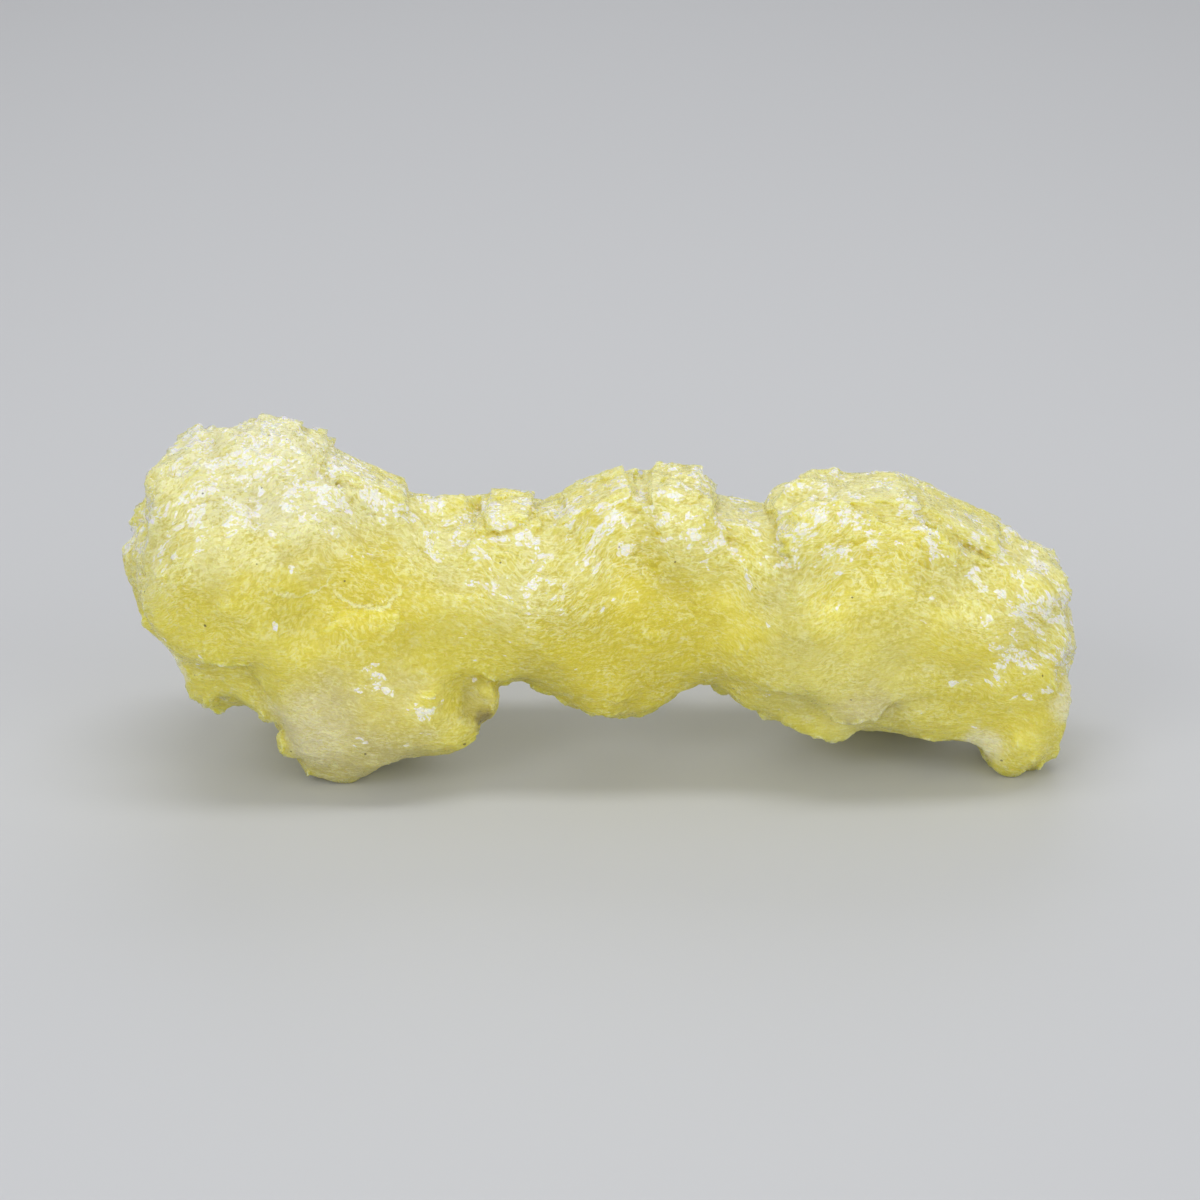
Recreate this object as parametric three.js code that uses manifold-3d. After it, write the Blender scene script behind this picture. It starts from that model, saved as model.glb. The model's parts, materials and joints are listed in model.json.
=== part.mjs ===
// A hand specimen of lemon-yellow brucite: one elongated botryoidal growth, whose rounded lobes
// run together along X under a few broken slabs. It rests on four small worn flats.
//
// Frame: millimetres, +Z up, X along the growth, +Y towards its back. The origin is the middle of
// the bounding box's underside, so the specimen stands on Z = 0.

import * as THREE from "three";
import { ImprovedNoise } from "three/addons/math/ImprovedNoise.js";
import { mergeVertices } from "three/addons/utils/BufferGeometryUtils.js";
import Module from "manifold-3d";

const wasm = await Module();
wasm.setup();

// ---------------------------------------------------------------- driving sizes

const FACE_EDGE = 1.65; // length of a facet's edge on a new lobe or slab
const SHORTEST_EDGE = 1.0; // shorter edges, where two bodies meet, are drawn together
const SAME_POINT = 1e-4; // points closer than this are one vertex
const LOBE_HEALING = 6; // rounds of growing over the creases between lobes
const SLAB_HEALING = 2; // the same for the rims of the slabs
const ROUND = 2; // squareness of a plain ellipsoid
const SQUARE = 4; // squareness of a slab, part of the way to a box
const WORN_DEPTH = 0.5; // what is worn off under each foot

const KNOB_SPACING = 9; // distance between neighbouring knobs on the skin
const KNOB_HEIGHT = 1.3; // how far a knob stands above the creases round it
const KNOB_REACH = 0.75; // radius of a knob over the spacing
const KNOB_SINK = 0.58; // share of the height by which a crease lies below the plain lobe
const PLATE_SPACING = 5; // distance between neighbouring plates on the knobs
const PLATE_ASPECT = 0.65; // a plate's breadth over its length along X
const PLATE_STEP = 0.8; // largest difference in height between two plates
const PLATE_SLOPE = 0.5; // how steeply a plate can tilt out of the skin
const SWELL_SPACING = 15; // slow undulation that keeps a lobe from being a true ellipsoid
const SWELL_HEIGHT = 1.0;
const LAYER_HEIGHT = 1.0; // thickness of the broken growth layers near the top
const LAYERS_FROM = 24; // the layers begin above this height
const LAYERS_FULL = 30; // and are strongest from here up
const LAYERS_SHARE = 0.7; // how far the layers replace the round relief there

// Lobes as [x, y, z] of the centre, [x, y, z] radii and a turn about Y in degrees.
// Z is measured from the surface that the specimen stood on before its feet were worn.
const LOBES = {
  // the large round lobe at the left end
  leftDome: [[-38.2, 1, 24.2], [14.8, 16.2, 14.4], 0],
  leftBrow: [[-43.8, 0, 32.4], [6.6, 8, 6.8], -25],
  leftCrown: [[-36.4, 2, 34.6], [8.4, 9, 5.8], 0],
  leftCheek: [[-44.2, -2, 19.0], [5.8, 9, 8], -20],
  leftChin: [[-43.2, -2, 11.6], [5.0, 6.5, 6.6], 0],
  leftJowl: [[-38.5, -2, 13.4], [6.6, 8, 6.2], 0],
  leftShoulder: [[-27.0, 1, 21.6], [13.6, 14.5, 11.6], 25],
  leftLap: [[-29.0, -3.5, 15.0], [12.6, 12.2, 9.0], 0],
  // the foot below it, broad from front to back
  footBlock: [[-24.4, -3, 11.0], [12.0, 12.4, 9.0], 0],
  footToe: [[-28.2, -7.2, 5.8], [6.8, 6.2, 7.2], 0],
  footNub: [[-36.0, -7.6, 9.2], [3.8, 4.0, 2.8], 0],
  footHeel: [[-17.8, -7, 8.0], [7.2, 7.0, 6.0], 0],
  leftBackFoot: [[-30.0, 11, 6.4], [8, 8, 8], 0],
  // the narrower neck
  neck: [[-14.0, 1.5, 20.8], [15.0, 13.5, 10.4], 0],
  // the belly in the middle and what links it to the right
  midBody: [[2.0, 2, 19.8], [13.2, 14, 12.4], 0],
  midBelly: [[3.4, -2, 13.6], [8.6, 9, 7.6], 0],
  bridge: [[17.2, 1.5, 19.6], [11.4, 13, 10.4], 0],
  // the large lobe at the right, its end and its foot
  rightDome: [[31.4, 1, 18.0], [15.6, 16, 14.0], 0],
  rightBelly: [[27.0, -2, 12.6], [11.4, 10, 8.2], 0],
  rightKeel: [[38.0, -1, 10.8], [11.0, 9, 7.6], 0],
  rightShoulder: [[42.8, 1, 16.8], [12.8, 13.5, 12.4], 22],
  rightEnd: [[49.0, -1, 14.2], [8.5, 11, 12.4], 0],
  rightFoot: [[50.0, -5, 6.6], [5.6, 7, 8.4], 0],
  rightBackFoot: [[36.0, 11, 6.4], [9, 8, 8], 0],
};

// Hollows in the skin, round like the lobes.
const HOLLOWS = {
  leftDish: [[-26.5, -14.0, 28.4], [6.0, 5.0, 5.0], 0],
};

// Square-edged slabs of growth that overlie the lobes, written in the same way.
const SLABS = {
  browSlab: [[-44.8, -1, 34.4], [4.6, 7.5, 3.7], -18],
  crownSlab: [[-35.6, 1, 35.8], [5.8, 8, 3.8], 4],
  crownStep: [[-28.6, 2, 31.4], [5.4, 8.5, 3.2], 34],
  dishRim: [[-26.5, -8.6, 21.2], [7.0, 5.6, 3.2], 0],
  neckSlab: [[-9.8, 1, 27.4], [5.6, 8, 3.4], 0],
  ridgeSlab: [[1.6, 1, 28.9], [6.4, 9, 3.4], -32],
  blockSlab: [[10.8, 0, 30.0], [4.4, 9.5, 5.0], 0],
  blockStep: [[14.8, 1, 26.4], [4.0, 9, 3.4], 0],
  domeSlab: [[29.0, 0, 29.2], [8.0, 10, 4.2], 3],
  domeCorner: [[25.4, -1, 28.2], [3.4, 8.5, 4.4], 0],
  domeStep: [[38.0, 0, 27.8], [7.4, 9.5, 4.2], 22],
  endSlab: [[49.9, -1, 21.6], [5.4, 9, 3.9], 20],
  rightLip: [[48.6, -2, 13.0], [7.0, 8.5, 3.6], 0],
  // the side that faces away
  backCrown: [[-36.0, 11, 27.0], [7.5, 5.5, 4.4], 10],
  backNeck: [[-16.0, 11, 19.0], [6.0, 4.4, 5.0], 0],
  backBlock: [[5.0, 12, 18.5], [7.0, 4.4, 4.4], -12],
  backDome: [[29.0, 12, 18.0], [8.5, 5.2, 5.0], 8],
};

// ---------------------------------------------------------------- chance and noise

// Factors that scatter a cell's whole numbers over a sine, whose far decimals look random.
const SCATTER = [127.1, 311.7, 74.7];
const SALT_SCATTER = 53.3;
const DECIMALS = 43758.5453;

// One salt for each independent draw.
const SALTS = { knobs: 11, plates: 31, plateTilt: 41, plateHeight: 44 };

const SWELL_OFFSET = new THREE.Vector3(3.1, 7.7, 1.9); // where the slow swell is read from
const perlin = new ImprovedNoise();

// A repeatable number from 0 to 1 for a cell of space.
function chance(cell, salt) {
  const phase = cell.reduce((sum, side, i) => sum + side * SCATTER[i], salt * SALT_SCATTER);
  const value = Math.sin(phase) * DECIMALS;
  return value - Math.floor(value);
}

// Three such numbers as a vector.
function chances(cell, salt) {
  return new THREE.Vector3(chance(cell, salt), chance(cell, salt + 1), chance(cell, salt + 2));
}

// The seed nearest to a point, where space holds one seed in every cell of the given spacing.
function nearestSeed(point, spacing, salt) {
  const home = point.clone().divideScalar(spacing).floor();
  const nearest = { distance: Infinity };
  for (let i = -1; i <= 1; i++) {
    for (let j = -1; j <= 1; j++) {
      for (let k = -1; k <= 1; k++) {
        const cell = [home.x + i, home.y + j, home.z + k];
        const seed = chances(cell, salt).add(new THREE.Vector3(...cell)).multiplyScalar(spacing);
        const distance = seed.distanceTo(point);
        if (distance < nearest.distance) {
          Object.assign(nearest, { distance, seed, cell });
        }
      }
    }
  }
  return nearest;
}

// ---------------------------------------------------------------- natural relief

// Round knobs with creases between them: 1 on the middle of a knob, about 0 in a crease.
function knobs(point) {
  const { distance } = nearestSeed(point, KNOB_SPACING, SALTS.knobs);
  return 1 - (distance / (KNOB_REACH * KNOB_SPACING)) ** 2;
}

// Flat plates, each with a height and a tilt of its own, so that their rims stand as ledges.
function plates(point) {
  const along = new THREE.Vector3(point.x * PLATE_ASPECT, point.y, point.z);
  const { seed, cell } = nearestSeed(along, PLATE_SPACING, SALTS.plates);
  const tilt = chances(cell, SALTS.plateTilt).subScalar(0.5).multiplyScalar(PLATE_SLOPE);
  const height = PLATE_STEP * (chance(cell, SALTS.plateHeight) - 0.5);
  return height + tilt.dot(seed.sub(along));
}

// A slow swell between -1 and 1.
function swell(point) {
  const { x, y, z } = point.clone().divideScalar(SWELL_SPACING).add(SWELL_OFFSET);
  return perlin.noise(x, y, z);
}

// How far the skin stands out from the healed lobes at a point.
function relief(point) {
  const round = KNOB_HEIGHT * (knobs(point) - KNOB_SINK) + SWELL_HEIGHT * swell(point);
  const layered = Math.round(round / LAYER_HEIGHT) * LAYER_HEIGHT;
  const share = LAYERS_SHARE * THREE.MathUtils.smoothstep(point.z, LAYERS_FROM, LAYERS_FULL);
  return THREE.MathUtils.lerp(round, layered, share) + plates(point);
}

// ---------------------------------------------------------------- tools for a closed skin

// Calls a function with every vertex's place and index, and stores the place that it leaves.
function moveVertices(geometry, move) {
  const position = geometry.getAttribute("position");
  const point = new THREE.Vector3();
  for (let i = 0; i < position.count; i++) {
    move(point.fromBufferAttribute(position, i), i);
    position.setXYZ(i, point.x, point.y, point.z);
  }
}

// The corners of every face, as triples of vertex indices.
function faces(geometry) {
  const index = geometry.getIndex();
  return Array.from({ length: index.count / 3 }, (_, i) => [
    index.getX(3 * i),
    index.getX(3 * i + 1),
    index.getX(3 * i + 2),
  ]);
}

// The vertices that share an edge with each vertex.
function neighbours(geometry) {
  const { count } = geometry.getAttribute("position");
  const around = Array.from({ length: count }, () => new Set());
  for (const [a, b, c] of faces(geometry)) {
    around[a].add(b).add(c);
    around[b].add(c).add(a);
    around[c].add(a).add(b);
  }
  return around;
}

// Every vertex's place as a vector.
function places(geometry) {
  const position = geometry.getAttribute("position");
  return Array.from({ length: position.count }, (_, i) =>
    new THREE.Vector3().fromBufferAttribute(position, i),
  );
}

// Draws the ends of every edge shorter than a length together. Two vertices become one only where
// they share just two neighbours, which keeps the skin closed and simple.
function collapse(geometry, shortest) {
  const points = places(geometry);
  const around = neighbours(geometry);
  const standIn = points.map((_, i) => i);
  const last = (i) => (standIn[i] === i ? i : last(standIn[i]));
  points.forEach((point, a) => {
    for (const b of [...around[a]]) {
      const shared = [...around[a]].filter((j) => around[b].has(j)).length;
      if (around[a].has(b) && shared === 2 && point.distanceTo(points[b]) < shortest) {
        point.lerp(points[b], 0.5);
        standIn[b] = a;
        around[b].forEach((j) => around[j].delete(b));
        around[b].delete(a);
        around[b].forEach((j) => around[j].add(a));
        around[b].forEach((j) => around[a].add(j));
        around[b].clear();
      }
    }
  });
  const kept = faces(geometry)
    .map((corners) => corners.map(last))
    .filter((corners) => new Set(corners).size === 3);
  geometry.setIndex(kept.flat());
  moveVertices(geometry, (point, i) => point.copy(points[i]));
  return mergeVertices(geometry, SAME_POINT);
}

// Grows over the creases: in each round every vertex moves half way to the mean of its neighbours.
function heal(geometry, rounds) {
  const around = neighbours(geometry);
  for (let round = 0; round < rounds; round++) {
    const before = places(geometry);
    moveVertices(geometry, (point, i) => {
      const mean = new THREE.Vector3();
      around[i].forEach((j) => mean.add(before[j]));
      point.lerp(mean.divideScalar(around[i].size), 0.5);
    });
  }
}

// Raises the relief along the skin's normals.
function roughen(geometry) {
  geometry.computeVertexNormals();
  const normal = geometry.getAttribute("normal");
  const outward = new THREE.Vector3();
  moveVertices(geometry, (point, i) => {
    point.addScaledVector(outward.fromBufferAttribute(normal, i), relief(point));
  });
}

// Wears the feet flat: what reaches below the worn height is brought up to it.
function wearFeet(geometry) {
  moveVertices(geometry, (point) => point.setZ(Math.max(point.z, WORN_DEPTH)));
}

// ---------------------------------------------------------------- solids

function toManifold(geometry) {
  const bare = geometry.clone();
  bare.deleteAttribute("normal");
  bare.deleteAttribute("uv");
  const merged = mergeVertices(bare, SAME_POINT);
  return new wasm.Manifold(
    new wasm.Mesh({
      numProp: 3,
      vertProperties: merged.getAttribute("position").array,
      triVerts: new Uint32Array(merged.getIndex().array),
    }),
  );
}

function toGeometry(solid) {
  const mesh = solid.getMesh();
  const geometry = new THREE.BufferGeometry();
  geometry.setAttribute("position", new THREE.BufferAttribute(mesh.vertProperties, 3));
  geometry.setIndex(new THREE.BufferAttribute(mesh.triVerts, 1));
  return geometry;
}

// An icosphere drawn out to three radii. Squareness 2 leaves it an ellipsoid, and a higher one
// fills its corners out towards a box.
function body([centre, radii, turn], squareness) {
  const meanRadius = (radii[0] + radii[1] + radii[2]) / 3;
  // An icosphere of detail n has edges of about 1.1 radii divided by n + 1.
  const detail = Math.max(1, Math.round((1.1 * meanRadius) / FACE_EDGE) - 1);
  const ball = new THREE.IcosahedronGeometry(1, detail);
  moveVertices(ball, (point) => {
    const sum = point.toArray().reduce((part, side) => part + Math.abs(side) ** squareness, 0);
    point.multiplyScalar(sum ** (-1 / squareness));
  });
  ball.scale(...radii);
  ball.rotateY(THREE.MathUtils.degToRad(turn));
  ball.translate(...centre);
  return toManifold(ball);
}

function joined(pieces, squareness) {
  return Object.values(pieces)
    .map((piece) => body(piece, squareness))
    .reduce((whole, next) => whole.add(next));
}

// The growth's skin: lobes that have run together, then slabs whose rims stay crisper, then relief.
function growth() {
  const hollowed = joined(LOBES, ROUND).subtract(joined(HOLLOWS, ROUND));
  const lobes = collapse(toGeometry(hollowed), SHORTEST_EDGE);
  heal(lobes, LOBE_HEALING);
  const overlaid = toManifold(lobes).add(joined(SLABS, SQUARE));
  const skin = collapse(toGeometry(overlaid), SHORTEST_EDGE);
  heal(skin, SLAB_HEALING);
  roughen(skin);
  wearFeet(skin);
  skin.computeVertexNormals();
  return skin;
}

// Moves a geometry so that the middle of its bounding box's underside is the origin.
function standOnOrigin(geometry) {
  geometry.computeBoundingBox();
  const { min, max } = geometry.boundingBox;
  geometry.translate(-(min.x + max.x) / 2, -(min.y + max.y) / 2, -min.z);
}

// ---------------------------------------------------------------- the specimen

function brucite() {
  const geometry = growth();
  standOnOrigin(geometry);
  const material = new THREE.MeshStandardMaterial({
    color: 0xdcd278,
    roughness: 0.45,
    metalness: 0,
  });
  const mesh = new THREE.Mesh(geometry, material);
  mesh.name = "brucite_growth";
  return mesh;
}

const specimen = new THREE.Group();
specimen.add(brucite());

export default specimen;
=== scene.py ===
# %% [markdown]
# # A brucite growth, from a plain solid to a scaly, glowing stone
# The specimen is one natural piece: a knobbly bar of lemon-yellow brucite, about as long as a finger,
# that stands on small feet. The imported solid gives its lumps, ledges and feet at their real size.
# Here it gets what brucite is known for: fine overlapping plates, flakes that glint white, as painted
# highlights in their colour, and light that soaks in and comes out yellow. All lengths are metres, in
# the frame of the imported solid.

# %% Load the imported solid
import json
import math

import bpy
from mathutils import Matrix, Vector

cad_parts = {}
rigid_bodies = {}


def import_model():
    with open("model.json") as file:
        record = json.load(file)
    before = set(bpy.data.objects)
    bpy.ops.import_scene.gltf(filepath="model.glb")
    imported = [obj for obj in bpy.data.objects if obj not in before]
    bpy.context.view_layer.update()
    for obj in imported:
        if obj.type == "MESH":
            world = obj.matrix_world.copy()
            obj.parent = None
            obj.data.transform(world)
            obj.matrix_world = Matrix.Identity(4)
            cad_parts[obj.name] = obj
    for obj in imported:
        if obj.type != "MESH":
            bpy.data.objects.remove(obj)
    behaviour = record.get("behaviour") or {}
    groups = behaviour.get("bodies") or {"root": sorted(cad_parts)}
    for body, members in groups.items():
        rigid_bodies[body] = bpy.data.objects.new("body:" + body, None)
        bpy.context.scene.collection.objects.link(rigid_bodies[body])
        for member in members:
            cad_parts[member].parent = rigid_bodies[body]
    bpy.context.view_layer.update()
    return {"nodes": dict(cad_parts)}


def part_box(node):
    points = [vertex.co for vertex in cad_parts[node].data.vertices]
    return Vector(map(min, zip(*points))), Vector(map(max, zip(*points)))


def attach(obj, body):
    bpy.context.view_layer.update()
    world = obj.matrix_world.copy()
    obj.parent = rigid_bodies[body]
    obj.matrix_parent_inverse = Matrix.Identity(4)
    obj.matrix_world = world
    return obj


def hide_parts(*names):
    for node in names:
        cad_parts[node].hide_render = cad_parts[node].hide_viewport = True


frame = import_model()
MM = 0.001
bpy.ops.object.select_all(action="DESELECT")
low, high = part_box("brucite_growth")
print("the growth measures", [round((high[i] - low[i]) / MM, 1) for i in range(3)], "mm")

# %% [markdown]
# ## The camera
# A small stone is looked at from a little above, from less than an arm's length. A long lens keeps
# its two ends from looking stretched. The camera stands straight in front of the growth, looks down
# by 22 degrees, and aims a little below mid height, so the stone fills most of the frame's width. The
# lens and its sensor are in the camera's own millimetres.

# %% The camera
LOOK_DOWN = math.radians(22)
AWAY = 360 * MM
AIM = Vector((0, 0, 18.5 * MM))
LENS = 92.9
SENSOR = 36
NEAREST = 0.01
camera_data = bpy.data.cameras.new("camera")
camera_data.sensor_width = SENSOR
camera_data.lens = LENS
camera_data.clip_start = NEAREST
camera = bpy.data.objects.new("camera", camera_data)
camera.location = AIM + AWAY * Vector((0, -math.cos(LOOK_DOWN), math.sin(LOOK_DOWN)))
camera.rotation_euler = (math.pi / 2 - LOOK_DOWN, 0, 0)
bpy.context.scene.collection.objects.link(camera)
bpy.context.scene.camera = camera
print("the camera stands at", [round(v / MM) for v in camera.location], "mm")

# %% [markdown]
# ## Helpers for modelling
# Three small helpers keep the later cells short. One selects a single object, because an operator
# acts on all that is selected. One counts triangles. One adds a modifier and applies it at once, as
# Apply does in the modifier's menu, so that the result is plain mesh for the next step.

# %% Helpers for modelling


def only(thing):
    """Selects one object, and makes it the active one."""
    bpy.ops.object.select_all(action="DESELECT")
    thing.select_set(True)
    bpy.context.view_layer.objects.active = thing


def triangles_of(thing):
    """How many triangles an object has."""
    return sum(len(face.vertices) - 2 for face in thing.data.polygons)


def finish_with(thing, kind, **settings):
    """Adds a modifier with these settings and applies it."""
    only(thing)
    modifier = thing.modifiers.new(kind.lower(), kind)
    for key, value in settings.items():
        setattr(modifier, key, value)
    bpy.ops.object.modifier_apply(modifier=modifier.name)


# %% [markdown]
# ## The body of the growth
# The lumps could be sculpted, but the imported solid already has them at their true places. So the body
# starts as a copy of it. That mesh is loose triangles, which are merged into one closed surface. It is
# too hollow in four places: in the cleft left of the right lump, behind the left foot, at the outside
# of the right foot, and at the outer side of the left one. A rounded lump is joined in at each. A voxel
# remesh melts them together, and gives the body an even skin that later steps can work on anywhere.

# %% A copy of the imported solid
MERGE_WITHIN = 0.001 * MM
skin = bpy.data.objects.new("brucite_skin", frame["nodes"]["brucite_growth"].data.copy())
skin.data.materials.clear()
bpy.context.scene.collection.objects.link(skin)
only(skin)
bpy.ops.object.mode_set(mode="EDIT")
bpy.ops.mesh.select_all(action="SELECT")
bpy.ops.mesh.remove_doubles(threshold=MERGE_WITHIN)
bpy.ops.object.mode_set(mode="OBJECT")
print("the copy has", len(skin.data.vertices), "points once its triangles are merged")

# %% Lumps where the solid is too hollow
# Each lump is a centre and three radii, in millimetres.
LUMPS = (((18.6, -2.5, 25.2), (5.6, 8.6, 4.9)), ((-13.4, -8.0, 9.6), (2.0, 3.0, 2.6)),
         ((52.1, -6.0, 8.5), (2.3, 3.4, 6.4)), ((-34.6, -10.0, 5.4), (2.6, 2.8, 2.2)))
LUMP_DETAIL = 4
BODY_CELL = 0.4 * MM
for centre, radii in LUMPS:
    bpy.ops.mesh.primitive_ico_sphere_add(subdivisions=LUMP_DETAIL, radius=1,
                                          location=[v * MM for v in centre],
                                          scale=[r * MM for r in radii])
    bpy.ops.object.transform_apply(location=True, rotation=True, scale=True)
    skin.select_set(True)
    bpy.context.view_layer.objects.active = skin
    bpy.ops.object.join()
finish_with(skin, "REMESH", mode="VOXEL", voxel_size=BODY_CELL)
print("the body has", triangles_of(skin), "triangles")

# %% [markdown]
# ## Softer flanks, sharper tops
# Real brucite is worn smooth on its flanks, while the slabs along the top keep their corners. A few
# rounds of Smooth take the flat facets away everywhere. Many more rounds act on the flanks alone,
# through a vertex group that is weighted by how far each point faces the front or the back. At last
# the body is drawn in a little, to leave room for the plates that will cover it.

# %% Softer flanks, sharper tops
HALF_WAY = 0.5
FACET_ROUNDS = 3
FLANK_ROUNDS = 120
FLANK_FROM, FLANK_BLEND = 0.45, 0.35
ROOM_FOR_PLATES = 0.24 * MM
finish_with(skin, "SMOOTH", factor=HALF_WAY, iterations=FACET_ROUNDS)
flanks = skin.vertex_groups.new(name="flanks")
for point in skin.data.vertices:
    weight = (abs(point.normal.y) - FLANK_FROM) / FLANK_BLEND
    flanks.add([point.index], min(1, max(0, weight)), "REPLACE")
finish_with(skin, "SMOOTH", factor=HALF_WAY, iterations=FLANK_ROUNDS, vertex_group=flanks.name)
skin.vertex_groups.clear()
finish_with(skin, "DISPLACE", strength=-ROOM_FOR_PLATES, mid_level=0.0)
print("the body is", round(skin.dimensions.x / MM, 1), "mm long without its plates")

# %% [markdown]
# ## One plate, in a few shapes
# Brucite splits into thin leaves with ragged outlines. Each leaf starts as a low prism, is made
# longer than it is broad, and has its corners pushed about at random, so that the shapes differ.
# Thousands will be laid, so each leaf has only about ten faces.

# %% The plates
LEAF_BREADTH = 0.78
LEAF_RAGGED = 0.04
LEAF_EVENLY = 0.5
LEAF_CORNERS = (7, 8, 9, 8, 7)
LEAF_SEED = 3


def plate(name, corners, seed):
    """A ragged leaf, one unit long and one unit thick, that lies in the XY plane."""
    bpy.ops.mesh.primitive_cylinder_add(vertices=corners, radius=0.5, depth=1.0)
    leaf = bpy.context.object
    leaf.name = name
    bpy.ops.object.mode_set(mode="EDIT")
    bpy.ops.mesh.select_all(action="SELECT")
    bpy.ops.transform.resize(value=(1.0, LEAF_BREADTH, 1.0))
    bpy.ops.transform.vertex_random(offset=LEAF_RAGGED, uniform=LEAF_EVENLY, seed=seed)
    bpy.ops.object.mode_set(mode="OBJECT")
    return leaf


plates = bpy.data.collections.new("plates")
bpy.context.scene.collection.children.link(plates)
for number, corners in enumerate(LEAF_CORNERS):
    leaf = plate(f"leaf_{number}", corners, seed=LEAF_SEED + number)
    for home in list(leaf.users_collection):
        home.objects.unlink(leaf)
    plates.objects.link(leaf)

# %% [markdown]
# ## Helpers for node trees
# Geometry Nodes and materials are both trees of small sums. These helpers add one node each and hand
# back its result, so that a sum reads as one line. An input may be a number, a few numbers, or the
# result of another node.

# %% Helpers for adding nodes


def add(tree, kind, links=(), **values):
    """Adds a node. links holds (input, source), and values are settings or input values by name."""
    node = tree.nodes.new(kind)
    for key, value in values.items():
        if hasattr(node, key):
            setattr(node, key, value)
    for key, value in values.items():
        if not hasattr(node, key):
            node.inputs[key.replace("_", " ")].default_value = value
    for socket, source in links:
        tree.links.new(source, node.inputs[socket])
    return node


def feed(tree, socket, value):
    """Puts a number, a few numbers or another node's result into an input."""
    if isinstance(value, (int, float, tuple)):
        socket.default_value = value
    else:
        tree.links.new(value, socket)


def parts_of(tree, place):
    """The X, Y and Z of a place."""
    return add(tree, "ShaderNodeSeparateXYZ", [("Vector", place)]).outputs


# %% Helpers for sums


def sum_of(tree, operation, first, second=0.0, third=0.0):
    """A sum with numbers."""
    node = add(tree, "ShaderNodeMath", operation=operation)
    for socket, value in zip(node.inputs, (first, second, third)):
        feed(tree, socket, value)
    return node.outputs[0]


def plus_times(tree, base, amount, factor):
    """base + amount x factor."""
    return sum_of(tree, "MULTIPLY_ADD", amount, factor, base)


def times(tree, first, second):
    """Two numbers multiplied, such as a mask and its strength."""
    return sum_of(tree, "MULTIPLY", first, second)


def vector_sum(tree, operation, first, second):
    """A sum with vectors, which gives a vector, or a number for a length or a dot product."""
    node = add(tree, "ShaderNodeVectorMath", operation=operation)
    feed(tree, node.inputs[0], first)
    feed(tree, node.inputs["Scale" if operation == "SCALE" else 1], second)
    gives_number = operation in ("DOT_PRODUCT", "DISTANCE", "LENGTH")
    return node.outputs["Value" if gives_number else "Vector"]


def ramp(tree, value, start, end, to_start=0.0, to_end=1.0):
    """A soft step: to_start below start, to_end above end."""
    node = add(tree, "ShaderNodeMapRange", interpolation_type="SMOOTHSTEP")
    for name, number in (("Value", value), ("From Min", start), ("From Max", end),
                         ("To Min", to_start), ("To Max", to_end)):
        feed(tree, node.inputs[name], number)
    return node.outputs["Result"]


# %% Helpers for random patterns
MIDDLE = (0.5, 0.5, 0.5)


def clouds(tree, place, period, detail=2.0, roughness=0.5):
    """Soft random clouds that swell and fade over about one period, from 0 to 1."""
    node = add(tree, "ShaderNodeTexNoise", [("Vector", place)], Scale=1 / period, Detail=detail,
               Roughness=roughness)
    return node.outputs["Fac"]


def swirl(tree, place, period, detail, strength):
    """A random push in all directions, that changes over about one period."""
    node = add(tree, "ShaderNodeTexNoise", [("Vector", place)], Scale=1 / period, Detail=detail)
    push = vector_sum(tree, "SUBTRACT", node.outputs["Color"], MIDDLE)
    return vector_sum(tree, "SCALE", push, strength)


# %% [markdown]
# ## The bedding
# Brucite grows in sheets, and here the sheets arch over each lump, side by side with the outline of
# its top, while they lie nearly level low down. So the height in the bedding is counted from a line
# that runs along the tops, the more so the nearer the top is, and slow waves bend it. A Float Curve
# node holds that line. The same sum steers the ledges now, and later the streaks in the colour.

# %% The line along the tops
TOP_LINE = ((-55, 30), (-50, 33), (-42, 37), (-34, 38.5), (-26, 36.5), (-15, 31), (-6, 29), (4, 34),
            (13, 34), (20, 31), (30, 34), (42, 30.5), (50, 25), (55, 19))
LINE_REACH = 56
LINE_HEIGHT = 42


def below_top(tree, place):
    """A place's height less that of the line along the tops, in metres: below it, less than nought."""
    parts = parts_of(tree, place)
    along = sum_of(tree, "MULTIPLY_ADD", parts["X"], 0.5 / (LINE_REACH * MM), 0.5)
    line = add(tree, "ShaderNodeFloatCurve", [("Value", along)])
    curve = line.mapping.curves[0]
    spots = [((x / LINE_REACH + 1) / 2, z / LINE_HEIGHT) for x, z in TOP_LINE]
    for position in spots[1:-1]:
        curve.points.new(*position)
    curve.points[0].location, curve.points[-1].location = spots[0], spots[-1]
    line.mapping.update()
    return sum_of(tree, "SUBTRACT", parts["Z"], times(tree, line.outputs["Value"], LINE_HEIGHT * MM))


print("the line along the tops bends at", len(TOP_LINE), "places")

# %% The height in the bedding
LEVEL = 31 * MM
ARCH_DEPTH = (26 * MM, 2 * MM)
ARCH_SHARE = (0.25, 0.9)
BEDDING_WAVES = ((12 * MM, 5.0 * MM), (3.2 * MM, 1.5 * MM), (0.9 * MM, 0.35 * MM))


def in_bedding(tree, place):
    """The height in the bedding, in metres: even along a sheet, and growing from sheet to sheet."""
    arching = below_top(tree, place)
    level = sum_of(tree, "SUBTRACT", parts_of(tree, place)["Z"], LEVEL)
    share = ramp(tree, arching, -ARCH_DEPTH[0], -ARCH_DEPTH[1], *ARCH_SHARE)
    height = plus_times(tree, level, sum_of(tree, "SUBTRACT", arching, level), share)
    for period, swing in BEDDING_WAVES:
        height = plus_times(tree, height, clouds(tree, place, period, 1.0), swing)
    return height


print("waves in the bedding:", [round(swing / MM, 2) for period, swing in BEDDING_WAVES], "mm")

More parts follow.
